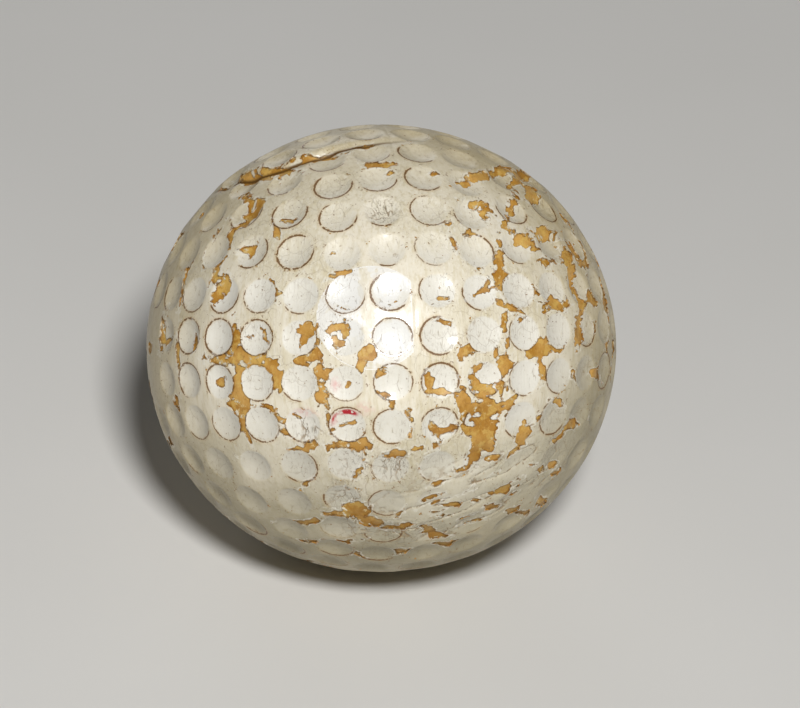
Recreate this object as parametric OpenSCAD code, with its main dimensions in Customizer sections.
// Rubber-wound golf ball of about 1910: a rubber sac filled with paste, wound
// with rubber tape and then rubber thread, closed in two moulded gutta-percha
// cups and painted with one coat of enamel.
// The poles of the two cups lie on the X axis and their seam in the plane x = 0.

/* [Ball] */
// Diameter across the seam, over the enamel
seam_d = 40.4; // [40:0.1:43]
// How much longer the ball is from pole to pole
pole_growth = 2; // [0.6:0.1:3]
// Thickness of the enamel coat
enamel_t = 0.12; // [0.08:0.01:0.2]
// Thickness of the cover at the seam
cover_t = 1.9; // [1.5:0.1:2.4]

/* [Core] */
// Diameter over the rubber tape
tape_d = 19; // [16:0.5:22]
// Outer diameter of the rubber sac
sac_d = 14; // [12:0.5:15]
// Wall of the rubber sac
sac_t = 1; // [0.6:0.1:1.4]
// Diameter of the plug that closes the sac
plug_d = 3; // [2:0.1:4]
// How far the plug's head stands proud of the sac
plug_head = 0.5; // [0.3:0.1:0.8]
// How deep the head is let into the sac's wall
plug_seat = 0.3; // [0.1:0.1:0.4]
// How far the plug's stem reaches into the paste
plug_reach = 0.6; // [0.2:0.1:1]

/* [Dimples] */
// Diameter of one dimple at its rim
dimple_d = 3.2; // [2.8:0.1:3.4]
// Depth of one dimple
dimple_depth = 0.36; // [0.2:0.01:0.36]
// Turn of the dimple pattern about the pole axis, in degrees
pattern_turn = 57.4; // [0:0.1:90]
// Leave the plain label patch at each pole
label_patch = true; // [true, false]

/* [Hidden] */
$fn = 64;

// Radius of the enamel and of the cover, each about its own half's centre.
enamel_r = seam_d / 2;
cover_r = enamel_r - enamel_t;
thread_r = cover_r - cover_t;
tape_r = tape_d / 2;
sac_r = sac_d / 2;
paste_r = sac_r - sac_t;

// Ends of the plug's stem, measured from the centre, and its head's diameter.
stem_low = paste_r - plug_reach;
stem_high = sac_r - plug_seat;
plug_head_d = 1.6 * plug_d;

// Each cup's sphere is centred this far from the seam plane.
half_shift = pole_growth / 2;

// Punch that presses one dimple, a short pin with a spherical end: the radius
// of its end from the rim and the depth, the distance of that end's centre
// from the centre of the cup, and the pin's diameter.
rim_drop = enamel_r - sqrt(pow(enamel_r, 2) - pow(dimple_d / 2, 2));
rim_depth = dimple_depth - rim_drop;
punch_r = (pow(dimple_d / 2, 2) + pow(rim_depth, 2)) / (2 * rim_depth);
punch_reach = enamel_r - dimple_depth + punch_r;
punch_pin_d = 1.12 * dimple_d;

// The dimples fill the eight faces of an octahedron. Rows lie one pitch apart,
// with half a pitch left free along each edge. A dimple's three levels count
// rows from the face's three edges: they add to one less than the rows along an
// edge, and to the number of rows inside the face.
edge_rows = 8;
pitch = 90 / edge_rows;

function on_edge(i, j, k) = min(i, j, k) == 0;
function is_dimple(i, j, k) = i + j + k == (on_edge(i, j, k) ? edge_rows - 1 : edge_rows);
function is_label(i) = label_patch && i == edge_rows - 1;
function level_sine(level) = sin(pitch * (level + 0.5));
function unit(v) = v / norm(v);

// Directions of the dimples in the face where x, y and z are all positive.
face_dimples = [
  for (i = [0 : edge_rows - 1], j = [0 : edge_rows - 1], k = [0 : edge_rows - 1])
    if (is_dimple(i, j, k) && !is_label(i))
      unit([level_sine(i), level_sine(j), level_sine(k)])
];

// The same direction seen from the centre of the longer half: x grows in
// proportion to the ball's length, and y and z keep their ratio.
stretch = half_shift / enamel_r;
function from_half(v) =
  let (x = v.x * (1 + stretch) - stretch, k = sqrt((1 - x * x) / (1 - v.x * v.x)))
  [x, k * v.y, k * v.z];

// Directions of the dimples of one half, side = 1 for +x and -1 for -x.
function half_dimples(side) = [
  for (v = face_dimples, sy = [-1, 1], sz = [-1, 1])
    let (h = from_half(v)) [side * h.x, sy * h.y, sz * h.z]
];

// Space on one side of the seam plane.
module half_space(side) {
  reach = 2 * seam_d;
  translate([side > 0 ? 0 : -reach, -reach / 2, -reach / 2])
    cube(reach);
}

// Ball whose own poles and seam line lie clear of every dimple.
module lying_ball(r) {
  rotate([0, 90, 0])
    sphere(r = r);
}

// Punch along the direction v, its end depth deeper than the enamel's dimple.
module punch(v, depth) {
  rotate([0, acos(v.z), atan2(v.y, v.x)])
    intersection() {
      translate([0, 0, punch_reach])
        rotate([0, -90, 0])
          sphere(r = punch_r + depth);
      translate([0, 0, enamel_r - 1])
        cylinder(d = punch_pin_d, h = 2, $fn = 32);
    }
}

// One half of a dimpled ball, solid, whose skin lies depth below the enamel's.
module dimpled_half(side, depth) {
  rotate([pattern_turn, 0, 0])
    difference() {
      intersection() {
        translate([side * half_shift, 0, 0])
          lying_ball(enamel_r - depth);
        half_space(side);
      }
      translate([side * half_shift, 0, 0])
        for (v = half_dimples(side))
          punch(v, depth);
    }
}

// Gutta-percha cup, pressed in a dimpled mould over the wound core.
module cover_half(side) {
  difference() {
    dimpled_half(side, enamel_t);
    sphere(r = thread_r);
  }
}

module left_cover_half() {
  color([0.76, 0.54, 0.22])
    cover_half(-1);
}

module right_cover_half() {
  color([0.76, 0.54, 0.22])
    cover_half(1);
}

// Cream enamel, one unbroken coat over both cups.
module enamel_coat() {
  color([0.90, 0.88, 0.80])
    difference() {
      union() {
        dimpled_half(-1, 0);
        dimpled_half(1, 0);
      }
      union() {
        dimpled_half(-1, enamel_t);
        dimpled_half(1, enamel_t);
      }
    }
}

module hollow_ball(outer_r, inner_r) {
  difference() {
    sphere(r = outer_r);
    sphere(r = inner_r);
  }
}

// Fine rubber thread wound on under tension, taken as one shell.
module thread_winding() {
  color([0.58, 0.44, 0.30])
    hollow_ball(thread_r, tape_r);
}

// Broad rubber tape under the thread, with a seat for the plug's head.
module tape_winding() {
  color([0.42, 0.30, 0.24])
    difference() {
      hollow_ball(tape_r, sac_r);
      plug_cap();
    }
}

// Moulded rubber sac, open at the hole through which it was filled.
module centre_sac() {
  color([0.55, 0.16, 0.12])
    difference() {
      hollow_ball(sac_r, paste_r);
      plug_stem();
      plug_cap();
    }
}

// Heavy paste that fills the sac, cut flat where the plug's stem ends.
module centre_paste() {
  color([0.72, 0.70, 0.66])
    difference() {
      sphere(r = paste_r);
      plug_stem();
    }
}

module plug_stem() {
  translate([0, 0, stem_low])
    cylinder(d = plug_d, h = stem_high - stem_low);
}

module plug_cap() {
  translate([0, 0, stem_high])
    cylinder(d = plug_head_d, h = plug_seat + plug_head);
}

// Rubber plug cemented into the sac's filling hole.
module sac_plug() {
  color([0.20, 0.18, 0.17]) {
    plug_stem();
    plug_cap();
  }
}

centre_paste();
sac_plug();
centre_sac();
tape_winding();
thread_winding();
left_cover_half();
right_cover_half();
enamel_coat();
